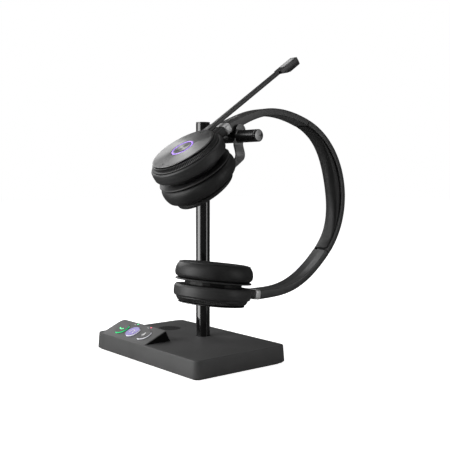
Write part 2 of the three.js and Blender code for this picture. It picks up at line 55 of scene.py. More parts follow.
SCENE = bpy.context.scene
JOINTS = {joint["name"]: joint for joint in frame["joints"]}


def joint_pos(name):
    return Vector(JOINTS[name]["pos_m"])


def joint_axis(name):
    return Vector(JOINTS[name]["axis"]).normalized()


def matrix_of(origin, x, y, z):
    matrix = Matrix((x, y, z)).transposed().to_4x4()
    matrix.translation = origin
    return matrix


def at(x, y, z):
    """A frame at a point in millimetres, with the row frame's axes."""
    return Matrix.Translation(Vector((x, y, z)) * MM)


# ---------- frames ----------
CROWN_CENTRE = 45.1
SWIVEL_DEPTH = 9.8
lift = joint_axis("headset_lift")
reach = lift.cross(X)
HEADSET = matrix_of(joint_pos("left_arm_extension") - reach * CROWN_CENTRE * MM, X, reach, lift)
left_t, right_t = -joint_axis("left_cup_swivel"), joint_axis("right_cup_swivel")
right_n = right_t.cross(X)
HALF = {"left": HEADSET, "right": HEADSET @ Matrix.Rotation(math.pi, 4, "Y")}
CUP = {
    "left": matrix_of(joint_pos("boom_rotation"), X, left_t, joint_axis("boom_rotation")),
    "right": matrix_of(joint_pos("right_cup_swivel") + right_n * SWIVEL_DEPTH * MM, -X, right_t, right_n),
}
POST_LOW, POST_HIGH = [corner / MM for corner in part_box("post_tube")]
POST = Vector(((POST_LOW.x + POST_HIGH.x) / 2, (POST_LOW.y + POST_HIGH.y) / 2, 0))
ARM_LOW, ARM_HIGH = [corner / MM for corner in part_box("arm_tube")]
ARM_Z = (ARM_LOW.z + ARM_HIGH.z) / 2
ALONG_ARM = Matrix.Rotation(math.pi / 2, 4, "Y")
BASE_LOW, BASE_HIGH = [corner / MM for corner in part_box("base_shell")]


# ---------- outlines ----------
def rounded(points, steps=5):
    """A closed polygon of (a, b, corner radius), with its corners turned."""
    out = []
    for i, (a, b, radius) in enumerate(points):
        corner = Vector((a, b))
        back = Vector(points[i - 1][:2]) - corner
        ahead = Vector(points[(i + 1) % len(points)][:2]) - corner
        if radius <= 0:
            out.append(corner)
            continue
        cut = radius / math.tan(max(back.angle(ahead), 0.05) / 2)
        start = corner + back.normalized() * min(cut, 0.49 * back.length)
        end = corner + ahead.normalized() * min(cut, 0.49 * ahead.length)
        for k in range(steps + 1):
            t = k / steps
            out.append(start * (1 - t) ** 2 + corner * 2 * t * (1 - t) + end * t * t)
    return out


def box_outline(a0, a1, b0, b1, radius, steps=5):
    return rounded([(a0, b0, radius), (a1, b0, radius), (a1, b1, radius), (a0, b1, radius)], steps)


def centred_box(width, height, radius, steps=5):
    return box_outline(-width / 2, width / 2, -height / 2, height / 2, radius, steps)


def smooth(t):
    return t * t * (3 - 2 * t)


# ---------- meshes ----------
def shade(bm, sharp_angle=38):
    bmesh.ops.recalc_face_normals(bm, faces=bm.faces)
    for face in bm.faces:
        face.smooth = True
    for edge in bm.edges:
        if len(edge.link_faces) == 2 and edge.calc_face_angle(0) > sharp_angle * DEG:
            edge.smooth = False


def linked(name, data):
    obj = bpy.data.objects.new(name, data)
    SCENE.collection.objects.link(obj)
    return obj


def build(name, bm, matrix, scale=MM):
    shade(bm)
    bmesh.ops.scale(bm, vec=(scale,) * 3, verts=bm.verts)
    mesh = bpy.data.meshes.new(name)
    bm.to_mesh(mesh)
    bm.free()
    obj = linked(name, mesh)
    obj.matrix_world = matrix
    return obj


def grounded(obj):
    """Moves an object's placing into its mesh, so that its box is no larger than the mesh."""
    obj.data.transform(obj.matrix_world)
    obj.matrix_world = ROW
    return obj


def skin(bm, rings):
    """A closed solid through successive rings of points, each ring a loop of the same length."""
    loops = [[bm.verts.new(p) for p in ring] for ring in rings]
    count = len(loops[0])
    for lower, upper in zip(loops, loops[1:]):
        for i in range(count):
            j = (i + 1) % count
            bm.faces.new((lower[i], lower[j], upper[j], upper[i]))
    bm.faces.new(loops[0])
    bm.faces.new(loops[-1])


def add_lathe(bm, profile, segments=96, ripple=None):
    """A closed (radius, z) profile turned about Z; ripple(point index, angle) is added to the radius."""
    columns = []
    poles = {}
    for s in range(segments):
        angle = 2 * math.pi * s / segments
        column = []
        for i, (r, z) in enumerate(profile):
            if r < 1e-6:
                if i not in poles:
                    poles[i] = bm.verts.new((0, 0, z))
                column.append(poles[i])
                continue
            radius = r + (ripple(i, angle) if ripple else 0)
            column.append(bm.verts.new((radius * math.cos(angle), radius * math.sin(angle), z)))
        columns.append(column)
    for here, there in zip(columns, columns[1:] + columns[:1]):
        for i in range(len(profile)):
            j = (i + 1) % len(profile)
            corners = []
            for vert in (here[i], here[j], there[j], there[i]):
                if vert not in corners:
                    corners.append(vert)
            if len(corners) > 2:
                bm.faces.new(corners)


def lathe(name, points, matrix, segments=96, steps=4, ripple=None):
    bm = bmesh.new()
    add_lathe(bm, rounded(points, steps), segments, ripple)
    return build(name, bm, matrix)


def prism(name, matrix, outline, x0, x1, edge=0.0, steps=3):
    """A (y, z) outline made into a solid from x0 to x1, with its end edges rounded by `edge`."""
    centre = sum(outline, Vector((0, 0))) / len(outline)
    size = max((p - centre).length for p in outline)
    stations = [(x0 + edge * (1 - math.cos(a)), 1 - edge * (1 - math.sin(a)) / size)
                for a in (k * math.pi / 2 / steps for k in range(steps + 1))] if edge else [(x0, 1)]
    stations += [(x0 + x1 - x, s) for x, s in reversed(stations)]
    bm = bmesh.new()
    skin(bm, [[Vector((x, *(centre + (p - centre) * s))) for p in outline] for x, s in stations])
    return build(name, bm, matrix)


def add_bar(bm, outline, stations):
    """A (x, z) outline carried along Y; stations are (y, shift in z, scale)."""
    skin(bm, [[Vector((p.x * s, y, p.y * s + dz)) for p in outline] for y, dz, s in stations])


def bar_with_round_ends(bm, outline, y0, y1, edge, z, steps=3):
    size = max(p.length for p in outline)
    turns = [k * math.pi / 2 / steps for k in range(steps + 1)]
    near = [(y0 + edge * (1 - math.cos(a)), z, 1 - edge * (1 - math.sin(a)) / size) for a in turns]
    add_bar(bm, outline, near + [(y0 + y1 - y, dz, s) for y, dz, s in reversed(near)])


def carve(obj, cutters):
    """Cuts closed bmeshes, in the object's own millimetres, out of it."""
    tool_bm = bmesh.new()
    for cutter in cutters:
        part = bpy.data.meshes.new("cutter")
        cutter.to_mesh(part)
        cutter.free()
        tool_bm.from_mesh(part)
        bpy.data.meshes.remove(part)
    tool = build("cutter", tool_bm, obj.matrix_world)
    modifier = obj.modifiers.new("cut", "BOOLEAN")
    modifier.object = tool
    modifier.solver = "EXACT"
    bpy.context.view_layer.update()
    result = bpy.data.meshes.new_from_object(obj.evaluated_get(bpy.context.evaluated_depsgraph_get()))
    obj.modifiers.remove(modifier)
    obj.data = result
    bpy.data.meshes.remove(tool.data)
    bm = bmesh.new()
    bm.from_mesh(result)
    shade(bm)
    bm.to_mesh(result)
    bm.free()
    return obj


def rod(radius, z0, z1, x=0.0, y=0.0, segments=48):
    """A closed cylinder as a bmesh, for carving."""
    bm = bmesh.new()
    add_lathe(bm, [Vector((0, z0)), Vector((radius, z0)), Vector((radius, z1)), Vector((0, z1))], segments)
    bmesh.ops.translate(bm, vec=(x, y, 0), verts=bm.verts)
    return bm


def merge(name, objects):
    """Joins meshes that share one frame into the first."""
    bm = bmesh.new()
    for obj in objects:
        bm.from_mesh(obj.data)
    first = objects[0]
    first.data = bpy.data.meshes.new(name)
    bm.to_mesh(first.data)
    bm.free()
    first.name = name
    for obj in objects[1:]:
        bpy.data.objects.remove(obj)
    return first


# ---------- materials ----------
def wave_scale(pitch):
    """A Wave node's scale for waves of the given pitch in millimetres: its waves are 2 pi / 20 apart."""
    return 2 * math.pi / (20 * pitch * MM)


class Nodes:
    """A node tree with short calls for the few node kinds used here."""

    def __init__(self, material):
        material.use_nodes = True
        self.tree = material.node_tree
        self.bsdf = self.tree.nodes["Principled BSDF"]
        self.place = self.new("ShaderNodeTexCoord").outputs["Object"]

    def new(self, kind, **values):
        node = self.tree.nodes.new(kind)
        for key, value in values.items():
            setattr(node, key, value)
        return node

    def link(self, source, target):
        self.tree.links.new(source, target)

    def noise(self, scale, detail=3.0, distortion=0.0, stretch=None):
        node = self.new("ShaderNodeTexNoise")
        node.inputs["Scale"].default_value = scale
        node.inputs["Detail"].default_value = detail
        node.inputs["Distortion"].default_value = distortion
        place = self.place
        if stretch:
            mapping = self.new("ShaderNodeMapping")
            mapping.inputs["Scale"].default_value = stretch
            self.link(place, mapping.inputs["Vector"])
            place = mapping.outputs["Vector"]
        self.link(place, node.inputs["Vector"])
        return node.outputs["Fac"]

    def pebbles(self, scale):
        node = self.new("ShaderNodeTexVoronoi", feature="SMOOTH_F1")
        node.inputs["Scale"].default_value = scale
        self.link(self.place, node.inputs["Vector"])
        return node.outputs["Distance"]

    def rings(self, pitch):
        node = self.new("ShaderNodeTexWave", wave_type="RINGS", rings_direction="Z")
        node.inputs["Scale"].default_value = wave_scale(pitch)
        node.inputs["Distortion"].default_value = 0.6
        node.inputs["Detail"].default_value = 1.0
        self.link(self.place, node.inputs["Vector"])
        return node.outputs["Fac"]

    def rough(self, source, low, high, start=0.3, end=0.7):
        self.link(self.spread(source, low, high, start, end), self.bsdf.inputs["Roughness"])

    def spread(self, source, low, high, start=0.3, end=0.7):
        node = self.new("ShaderNodeMapRange")
        for key, value in (("From Min", start), ("From Max", end), ("To Min", low), ("To Max", high)):
            node.inputs[key].default_value = value
        self.link(source, node.inputs["Value"])
        return node.outputs["Result"]

    def add(self, first, second):
        node = self.new("ShaderNodeMath", operation="ADD")
        self.link(first, node.inputs[0])
        self.link(second, node.inputs[1])
        return node.outputs["Value"]

    def colour(self, source, first, second):
        node = self.new("ShaderNodeMix", data_type="RGBA")
        node.inputs["A"].default_value = (*first, 1)
        node.inputs["B"].default_value = (*second, 1)
        self.link(source, node.inputs["Factor"])
        self.link(node.outputs["Result"], self.bsdf.inputs["Base Color"])

    def tint(self, source, tone, darker, lighter):
        """A base colour that runs from a darker to a lighter share of the tone."""
        self.colour(source, [c * darker for c in tone], [c * lighter for c in tone])

    def bump(self, height, strength, depth):
        node = self.new("ShaderNodeBump")
        node.inputs["Strength"].default_value = strength
        node.inputs["Distance"].default_value = depth * MM
        self.link(height, node.inputs["Height"])
        self.link(node.outputs["Normal"], self.bsdf.inputs["Normal"])


def started(name, **sockets):
    material = bpy.data.materials.new(name)
    nodes = Nodes(material)
    for key, value in sockets.items():
        nodes.bsdf.inputs[key.replace("_", " ")].default_value = value
    return material, nodes


def grey(value):
    return (value, value, value)


def plastic(name, tone, roughness, grain=0.35, depth=0.03, variation=0.1, **sockets):
    """Moulded plastic: a fine spark-eroded grain, with faint clouding in colour and gloss."""
    material, nodes = started(name, **sockets)
    clouds = nodes.noise(45, 2.0)
    nodes.tint(nodes.spread(clouds, 0, 1), tone, 1 - variation, 1 + variation)
    fine = nodes.noise(1000 / grain, 2.0)
    nodes.rough(nodes.add(clouds, fine), roughness - 0.05, roughness + 0.05, 0.7, 1.3)
    nodes.bump(fine, 0.35, depth)
    return material


def leatherette(name, tone):
    """Soft protein leather: small pebbles, stretched creases and slightly worn, shinier high spots."""
    material, nodes = started(name, Specular_IOR_Level=0.25)
    pebbles = nodes.pebbles(1500)
    creases = nodes.noise(260, 4.0, 0.8, (1.0, 1.0, 2.4))
    wear = nodes.noise(60, 3.0)
    nodes.tint(nodes.spread(wear, 0, 1), tone, 0.8, 1.25)
    nodes.rough(nodes.add(wear, creases), 0.42, 0.56, 0.7, 1.3)
    nodes.bump(nodes.add(pebbles, creases), 0.4, 0.12)
    return material


def spun(name, tone, roughness):
    """Metal with turned rings about the piece's own Z axis."""
    material, nodes = started(name, Metallic=1.0, Anisotropic=0.9)
    tangent = nodes.new("ShaderNodeTangent", direction_type="RADIAL", axis="Z")
    nodes.link(tangent.outputs["Tangent"], nodes.bsdf.inputs["Tangent"])
    turned = nodes.rings(0.28)
    nodes.tint(turned, tone, 0.85, 1.1)
    nodes.rough(nodes.noise(120, 2.0), roughness - 0.015, roughness + 0.015)
    nodes.bump(turned, 0.08, 0.005)
    return material


def metal(name, tone, roughness, brush=(1, 1, 1)):
    material, nodes = started(name, Metallic=1.0)
    brushed = nodes.noise(500, 3.0, 0.0, brush)
    nodes.tint(nodes.spread(brushed, 0, 1), tone, 0.9, 1.08)
    nodes.rough(brushed, roughness - 0.05, roughness + 0.06)
    nodes.bump(brushed, 0.12, 0.01)
    return material


def polished(name, tone, roughness):
    """Dark polished plating: fine wipe marks in its gloss."""
    material, nodes = started(name, Coat_Weight=0.4, Coat_Roughness=0.06, Specular_IOR_Level=0.5)
    wipes = nodes.noise(30, 4.0, 0.4, (1.0, 1.0, 0.15))
    nodes.tint(nodes.spread(wipes, 0, 1), tone, 0.85, 1.15)
    nodes.rough(wipes, roughness - 0.03, roughness + 0.05)
    nodes.bump(nodes.noise(900, 2.0), 0.04, 0.01)
    return material


def lit(name, tone, strength):
    """A translucent light guide, brighter where the light source sits behind it."""
    material, nodes = started(name, Roughness=0.35, Emission_Strength=strength)
    cloud = nodes.noise(300, 2.0)
    nodes.tint(nodes.spread(cloud, 0, 1), tone, 0.8, 1)
    glow = nodes.new("ShaderNodeMix", data_type="RGBA")
    glow.inputs["A"].default_value = (*[c * 0.75 for c in tone], 1)
    glow.inputs["B"].default_value = (*tone, 1)
    nodes.link(cloud, glow.inputs["Factor"])
    nodes.link(glow.outputs["Result"], nodes.bsdf.inputs["Emission Color"])
    return material


def woven(name, tone):
    """Fine acoustic cloth: crossed threads from two waves."""
    material, nodes = started(name, Roughness=0.9)
    threads = []
    for direction in ("X", "Y"):
        wave = nodes.new("ShaderNodeTexWave", wave_type="BANDS", bands_direction=direction)
        wave.inputs["Scale"].default_value = wave_scale(0.55)
        nodes.link(nodes.place, wave.inputs["Vector"])
        threads.append(wave.outputs["Fac"])
    weave = nodes.add(*threads)
    nodes.tint(nodes.spread(weave, 0, 1, 0.4, 1.6), tone, 0.5, 1.4)
    nodes.bump(weave, 0.7, 0.1)
    return material


MATERIALS = {
    "charcoal": plastic("charcoal_moulding", grey(0.066), 0.5, Specular_IOR_Level=0.2),
    "shell": plastic("cup_moulding", grey(0.028), 0.48, Specular_IOR_Level=0.3),
    "band": plastic("band_moulding", grey(0.024), 0.34, 0.35, 0.012),
    "black": plastic("black_moulding", grey(0.011), 0.5, Specular_IOR_Level=0.3),
    "ribs": plastic("ribbed_moulding", grey(0.03), 0.4, Specular_IOR_Level=0.4),
    "boom": plastic("boom_moulding", grey(0.007), 0.38, 0.35, 0.004, Specular_IOR_Level=0.45),
    "gloss": polished("dark_plating", grey(0.006), 0.1),
    "arm": plastic("arm_enamel", grey(0.006), 0.24, 0.3, 0.004, Specular_IOR_Level=0.3),
    # The wedge's right end: a near-black finish that is painted shade over the charcoal face.
    "side": plastic("painted_shade_side_panel", grey(0.004), 0.6, Specular_IOR_Level=0.08),
    "bracket": plastic("bracket_paint", grey(0.13), 0.34, 0.2, 0.01, 0.06),
    "leather": leatherette("leatherette", grey(0.018)),
    "rubber": plastic("pad_rubber", grey(0.012), 0.85, 0.6, 0.06),
    "silver": plastic("silver_trim", grey(0.5), 0.36, 0.2, 0.01, 0.05, Metallic=0.3),
    "steel": metal("steel", grey(0.45), 0.35, (1, 1, 0.1)),
    "brass": metal("contact_plating", (0.8, 0.55, 0.2), 0.25),
    "disc": spun("spun_disc", grey(0.13), 0.36),
    "cap": spun("spun_cap", grey(0.12), 0.22),
    "cloth": woven("acoustic_cloth", grey(0.02)),
    "board": plastic("solder_mask", (0.01, 0.09, 0.03), 0.4),
    "icon": plastic("icon_print", grey(0.6), 0.5),
    "violet_key": lit("violet_key_face", (0.13, 0.09, 0.36), 0.3),
    "green": lit("green_light", (0.05, 0.75, 0.25), 0.9),
    "white": lit("white_light", (0.8, 0.8, 0.85), 0.7),
    "red": lit("red_light", (0.8, 0.12, 0.2), 0.8),
    "violet": lit("violet_light", (0.32, 0.16, 0.75), 0.9),
}


def dress(obj, finish):
    obj.data.materials.clear()
    obj.data.materials.append(MATERIALS[finish])


def fit(obj, finish, body, *nodes, slot=None):
    """Gives a piece its finish, its body and the CAD nodes that it stands for; the slot argument is not used.
    """
    dress(obj, finish)
    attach(obj, body)
    if nodes:
        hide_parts(*nodes)


# ---------- camera, light and floor ----------
CAMERA = {"place": (0.5229, -0.3864, 0.1504), "yaw": 50.763 * DEG, "focal_widths": 1.7138, "shift": -0.1062}
SENSOR = 36
BACKDROP = {"lighting": 0.09, "seen": 1.0, "floor_size": 4, "floor_light": 0.95}
AIM = Vector((0.02, 0.02, 0.13))
# Each area lamp: its place, its width and height in metres, and its power in watts.
LAMPS = {
    "key": ((-0.42, -1.19, 0.25), (1.15, 1.7), 38.0),
    "top": ((-0.1, 0.3, 1.5), (1.2, 0.8), 3.0),
    "sky": ((-1.15, -0.02, 0.73), (0.8, 0.7), 6.0),
    "edge": ((1.3, 0.75, 0.4), (0.5, 1.2), 5.5),
}


def make_camera():
    camera = linked("camera", bpy.data.cameras.new("camera"))
    camera.data.sensor_width = SENSOR
    camera.data.lens = SENSOR * CAMERA["focal_widths"]
    camera.data.shift_y = CAMERA["shift"]
    camera.location = CAMERA["place"]
    camera.rotation_euler = (math.pi / 2, 0, CAMERA["yaw"])
    SCENE.camera = camera
    SCENE.view_settings.view_transform = "Standard"


def make_world():
    """A white surround that looks bright to the camera and lights the object only faintly."""
    world = bpy.data.worlds.new("studio")
    SCENE.world = world
    world.use_nodes = True
    tree = world.node_tree
    background = tree.nodes["Background"]
    seen = tree.nodes.new("ShaderNodeLightPath")
    strength = tree.nodes.new("ShaderNodeMapRange")
    strength.inputs["To Min"].default_value = BACKDROP["lighting"]
    strength.inputs["To Max"].default_value = BACKDROP["seen"]
    tree.links.new(seen.outputs["Is Camera Ray"], strength.inputs["Value"])
    tree.links.new(strength.outputs["Result"], background.inputs["Strength"])
    background.inputs["Color"].default_value = (1, 1, 1, 1)


def make_floor():
    bm = bmesh.new()
    bmesh.ops.create_grid(bm, x_segments=1, y_segments=1, size=BACKDROP["floor_size"])
    floor = build("floor", bm, ROW, 1.0)
    material, nodes = started("floor_paper", Roughness=0.9)
    nodes.colour(nodes.noise(3, 2.0), grey(0.78), grey(0.8))
    nodes.bsdf.inputs["Emission Color"].default_value = (1, 1, 1, 1)
    own_light = nodes.new("ShaderNodeMath", operation="MULTIPLY")
    own_light.inputs[1].default_value = BACKDROP["floor_light"]
    nodes.link(nodes.new("ShaderNodeLightPath").outputs["Is Camera Ray"], own_light.inputs[0])
    nodes.link(own_light.outputs["Value"], nodes.bsdf.inputs["Emission Strength"])
    floor.data.materials.append(material)
    floor.visible_glossy = False


def make_lamps():
    for name, (place, (width, height), power) in LAMPS.items():
        lamp = bpy.data.lights.new(name, "AREA")
        lamp.shape = "RECTANGLE"
        lamp.size, lamp.size_y = width, height
        lamp.energy = power
        obj = linked(name, lamp)
        obj.location = place
        obj.rotation_euler = (AIM - Vector(place)).to_track_quat("-Z", "Y").to_euler()


# ---------- stand: base ----------
BASE = {"corner": 7, "top_edge": 0.9, "draft": 0.8, "deck": 15.3, "post_hole": 6.25}
FOOT_RIM = {"inset": 1.5, "corner": 5.8, "low": 1.15, "into_shell": 0.3}
WEDGE = {"left": -64.9, "right": 2, "peak": (-22.9, 24.72), "heel_y": -19.5, "toe": (-45.4, 15.0),
         "edge": 0.7, "floor": 11.0}
SLOPE = math.atan2(WEDGE["peak"][1] - WEDGE["toe"][1], WEDGE["peak"][0] - WEDGE["toe"][0])
KEYS = {"call_key": "green", "headset_key": "white", "mute_key": "white"}
KEY = {"radius": 6.35, "stem": 5.7, "depth": 3.2, "well": 6.55, "well_depth": 4.6, "proud": 1.2,
       "travel": 0.7, "guide": (5.8, 6.4), "y": -34.8, "mark_scale": 0.82}
LEDS = {"call_led_pipe": "green", "mute_led_pipe": "red"}
LED = {"y": -24.6, "radius": 0.9, "depth": 2.4, "hole": 1.0}
GRILLE = {"radius": 9.5, "pitch": 1.5, "hole": 0.42, "rows": 5, "low": 13.95, "high": 15.2}


def slope_z(y):
    return WEDGE["toe"][1] + (y - WEDGE["toe"][0]) * math.tan(SLOPE)


def on_slope(x, y):
    return at(x, y, slope_z(y)) @ Matrix.Rotation(SLOPE, 4, "X")


def middle(node):
    low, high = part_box(node)
    return (low + high) / 2 / MM


def base_body():
    width = BASE_HIGH.x - BASE_LOW.x - 2 * BASE["draft"]
    depth = BASE_HIGH.y - BASE_LOW.y - 2 * BASE["draft"]
    bottom, top, edge = BASE_LOW.z, BASE["deck"], BASE["top_edge"]
    levels = [(bottom, -0.3), (bottom + 0.15, -0.6), (bottom + 0.6, -BASE["draft"]), (top - edge, 0.0)]
    levels += [(top - edge * (1 - math.sin(a)), edge * (1 - math.cos(a)))
               for a in (k * math.pi / 12 for k in range(1, 7))]
    bm = bmesh.new()
    rings = []
    for z, inset in levels:
        outline = centred_box(width - 2 * inset, depth - 2 * inset, BASE["corner"] - inset, 12)
        rings.append([Vector((*p, z)) for p in outline])
    skin(bm, rings)
    return build("base_body", bm, ROW)


def wedge_body():
    def plan(inset, back):
        left, right = WEDGE["left"] + inset, WEDGE["right"] - inset
        front = WEDGE["toe"][0] + inset
        return rounded([(left, front, 0.8), (right, front, 0.8), (right, back - inset, 1.2),
                        (left, back - inset, 5.5 - inset)], 8)

    edge, peak, heel = WEDGE["edge"], WEDGE["peak"][0], WEDGE["heel_y"] + 0.9
    rings = [[Vector((*p, WEDGE["floor"])) for p in plan(0, heel)]]
    for k in range(6):
        angle = k * math.pi / 10
        inset, drop = edge * (1 - math.cos(angle)), edge * (1 - math.sin(angle))
        rings.append([Vector((*p, slope_z(p.y) - drop)) for p in plan(inset, peak)])
    bm = bmesh.new()
    skin(bm, rings)
    return build("wedge_body", bm, ROW)


def moved(bm, matrix):
    """A bmesh in a local frame, carried to the row frame's millimetres."""
    local = matrix.copy()
    local.translation = matrix.translation / MM
    bmesh.ops.transform(bm, matrix=local, verts=bm.verts)
    return bm


def raised(name, outline, matrix, low, high):
    """A flat outline in the frame's XY, made solid from low to high."""
    bm = bmesh.new()
    skin(bm, [[Vector((*p, z)) for p in outline] for z in (low, high)])
    return build(name, bm, matrix)


def stroke(points, width):
    """The outline of a line of given width along points."""
    sides = ([], [])
    for i, p in enumerate(points):
        ahead = points[min(i + 1, len(points) - 1)]
        back = points[max(i - 1, 0)]
        along = (ahead - back).normalized()
        across = Vector((-along.y, along.x)) * width / 2
        sides[0].append(p + across)
        sides[1].append(p - across)
    return sides[0] + sides[1][::-1]


def bow(radius, start, end, steps=14, centre=(0, 0)):
    return [Vector((centre[0] + radius * math.cos(a * DEG), centre[1] + radius * math.sin(a * DEG)))
            for a in (start + (end - start) * k / steps for k in range(steps + 1))]


def key_marks(node):
    """A plain mark: a handset, a headband with two pads, or a microphone in its cradle."""
    def line(*points):
        return [Vector(p) for p in points]

    if node == "call_key":
        return [stroke(bow(3.4, 205, 335, centre=(0, 2.0)), 0.95),
                stroke(line((-3.5, -0.1), (-1.8, -0.1)), 1.6),
                stroke(line((1.8, -0.1), (3.5, -0.1)), 1.6)]
    if node == "headset_key":
        return [stroke(bow(2.9, 0, 180, centre=(0, -0.3)), 0.7),
                stroke(line((-2.9, -0.3), (-2.9, -2.6)), 1.5),
                stroke(line((2.9, -0.3), (2.9, -2.6)), 1.5)]
    return [rounded([(-1, -0.8, 0.9), (1, -0.8, 0.9), (1, 3.0, 0.9), (-1, 3.0, 0.9)]),
            stroke(bow(2.1, 190, 350, centre=(0, 0.4)), 0.6),
            stroke(line((0, -1.7), (0, -3.0)), 0.6)]


def frames_on_wedge(nodes, y):
    return {node: on_slope(middle(node).x, y) for node in nodes}


def make_casing(keys, leds):
    """The base and wedge, with holes for the keys, status lights, post and grille."""
    grille_at = middle("speaker_grille")

    def wells():
        cutters = [moved(rod(KEY["well"], -KEY["well_depth"], 6), m) for m in keys.values()]
        return cutters + [moved(rod(LED["hole"], -2.5, 4, segments=24), m) for m in leds.values()]

    above = BASE["deck"] + 4.7
    sockets = [rod(BASE["post_hole"], 13.2, above, POST.x, POST.y, 96),
               rod(GRILLE["radius"] + 0.3, GRILLE["low"] - 0.05, above, grille_at.x, grille_at.y, 64)]
    body = carve(base_body(), wells() + sockets)
    wedge = carve(wedge_body(), wells())
    fit(merge("base_casing", [body, wedge]), "charcoal", "stand", "base_shell")


def make_painted_shade_panel():
    """A near-black triangle on the wedge's right end, painted shade over its charcoal face."""
    toe, peak, heel = WEDGE["toe"][0] + 2.6, WEDGE["peak"][0] - 0.9, WEDGE["heel_y"] + 0.2
    low = BASE["deck"] + 0.02
    outline = rounded([(toe, low, 0), (peak, slope_z(peak) - 0.75, 0.5), (heel, low, 0)])
    # This panel darkens the wedge's charcoal end face: painted shade.
    panel = prism("wedge_painted_shade_panel", ROW, outline, WEDGE["right"] - 0.6, WEDGE["right"] + 0.06)
    fit(panel, "side", "stand")


def make_foot_rim():
    """The dark edge that shows under the base."""
    twice = 2 * FOOT_RIM["inset"]
    outline = centred_box(2 * BASE_HIGH.x - twice, BASE_HIGH.y - BASE_LOW.y - twice, FOOT_RIM["corner"], 12)
    rim = raised("base_foot_rim", outline, ROW, FOOT_RIM["low"], BASE_LOW.z + FOOT_RIM["into_shell"])
    fit(rim, "black", "stand")


def hoop(name, inner, outer, low, high, matrix):
    return lathe(name, [(inner, low, 0), (outer, low, 0), (outer, high, 0.05), (inner, high, 0)], matrix, 72)


def make_key(name, matrix):
    """A cap with its marks, its glowing skirt, and the fixed light guide below them."""
    low, top, radius, stem = -KEY["depth"], KEY["proud"], KEY["radius"], KEY["stem"]
    brim = top - 0.35
    cap = lathe(name + "_cap", [(0, low, 0), (stem, low, 0.2), (stem, brim, 0), (radius, brim, 0.05),
                                (radius, top, 0.2), (5, top - 0.1, 2), (0, top - 0.3, 0)], matrix, 72)
    fit(cap, "violet_key" if name == "headset_key" else "charcoal", name, name)
    light = KEYS[name]
    for i, outline in enumerate(key_marks(name)):
        outline = [p * KEY["mark_scale"] for p in outline]
        mark = raised(f"{name}_mark_{i}", outline, matrix, top - 0.6, top - 0.08)
        fit(mark, "green" if name == "call_key" else "icon", name)
    inner, outer = KEY["guide"]
    skirt_low = top - 1.05
    skirt = hoop(name + "_skirt", stem - 0.05, outer - 0.08, skirt_low, top - 0.37, matrix)
    fit(skirt, light, name)
    guide_top = skirt_low - KEY["travel"] - 0.03
    guide = hoop(name + "_glow", inner, outer, guide_top - 0.6, guide_top, matrix)
    fit(guide, light, "stand", name + "_light")


def make_led(name, matrix):
    """A status light's lens, with two printed dots beside it."""
    low, radius = -LED["depth"], LED["radius"]
    lens = lathe(name + "_lens", [(0, low, 0), (radius, low, 0.1), (radius, 0, 0.3), (0, 0.25, 0)], matrix, 32)
    fit(lens, LEDS[name], "stand", name)
    for i, (dx, size) in enumerate(((-2.4, 0.45), (-3.6, 0.35))):
        dot = raised(f"{name}_dot_{i}", bow(size, 0, 345, 15), matrix @ at(dx, -1.2, 0), -0.2, 0.03)
        fit(dot, "icon", "stand")


def make_grille():
    place = middle("speaker_grille")
    low, high, radius = GRILLE["low"], GRILLE["high"], GRILLE["radius"]
    profile = [(0, low, 0), (radius, low, 0.1), (radius, high, 0.25), (0, high, 0)]
    plate = lathe("speaker_grille_plate", profile, at(place.x, place.y, 0), 64)
    holes = [rod(GRILLE["hole"], 13.0, 16.0, segments=10)]
    for row in range(1, GRILLE["rows"] + 1):
        distance = row * GRILLE["pitch"]
        for i in range(row * 6):
            angle = 2 * math.pi * i / (row * 6)
            x, y = distance * math.cos(angle), distance * math.sin(angle)
            holes.append(rod(GRILLE["hole"], 13.0, 16.0, x, y, 10))
    fit(carve(plate, holes), "black", "stand", "speaker_grille")


def make_base():
    keys, leds = frames_on_wedge(KEYS, KEY["y"]), frames_on_wedge(LEDS, LED["y"])
    make_casing(keys, leds)
    make_painted_shade_panel()
    make_foot_rim()
    for name, matrix in keys.items():
        make_key(name, matrix)
    for name, matrix in leds.items():
        make_led(name, matrix)
    make_grille()


# ---------- stand: post, arm, bracket ----------
BRACKET = {"x": 50, "top": 193.2, "thickness": 1.5, "width": 9.5, "tab": 5.6, "collar": (139, 147)}
ARM_RADIUS = 5.0


def make_post():
    axis = at(POST.x, POST.y, 0)
    radius = (POST_HIGH.x - POST_LOW.x) / 2
    top = POST_HIGH.z
    tube = lathe("post_column", [(radius - 1.2, POST_LOW.z, 0), (radius, POST_LOW.z, 0), (radius, top, 0.15),
                                 (radius - 1.2, top, 0)], axis, 128)
    fit(tube, "gloss", "stand", "post_tube")
    cap_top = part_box("post_top_cap")[1].z / MM
    cap = lathe("post_cap", [(0, top - 5, 0), (radius - 1.5, top - 5, 0), (radius - 1.5, top + 0.2, 0),
                             (radius, top + 0.2, 0.1), (radius, cap_top, 0.3), (0, cap_top, 0)], axis, 128)
    fit(cap, "gloss", "stand", "post_top_cap")


def bracket_line():
    """The bent plate's (x, z) centreline: an upright tab, a strip that bows, and a leg back to the post."""
    x = BRACKET["x"]
    bend = [(x, BRACKET["top"]), (x, 186), (x - 1.6, 181), (x - 3.6, 177.5), (x - 2, 173), (x - 0.7, 169.5),
            (x - 0.9, 166.8), (x - 2.6, 164.3), (POST.x + 7, 142)]
    points = [Vector(p) for p in bend]
    for _ in range(3):
        cut = [q for a, b in zip(points, points[1:]) for q in (a * 0.75 + b * 0.25, a * 0.25 + b * 0.75)]
        points = [points[0], *cut, points[-1]]
    return points


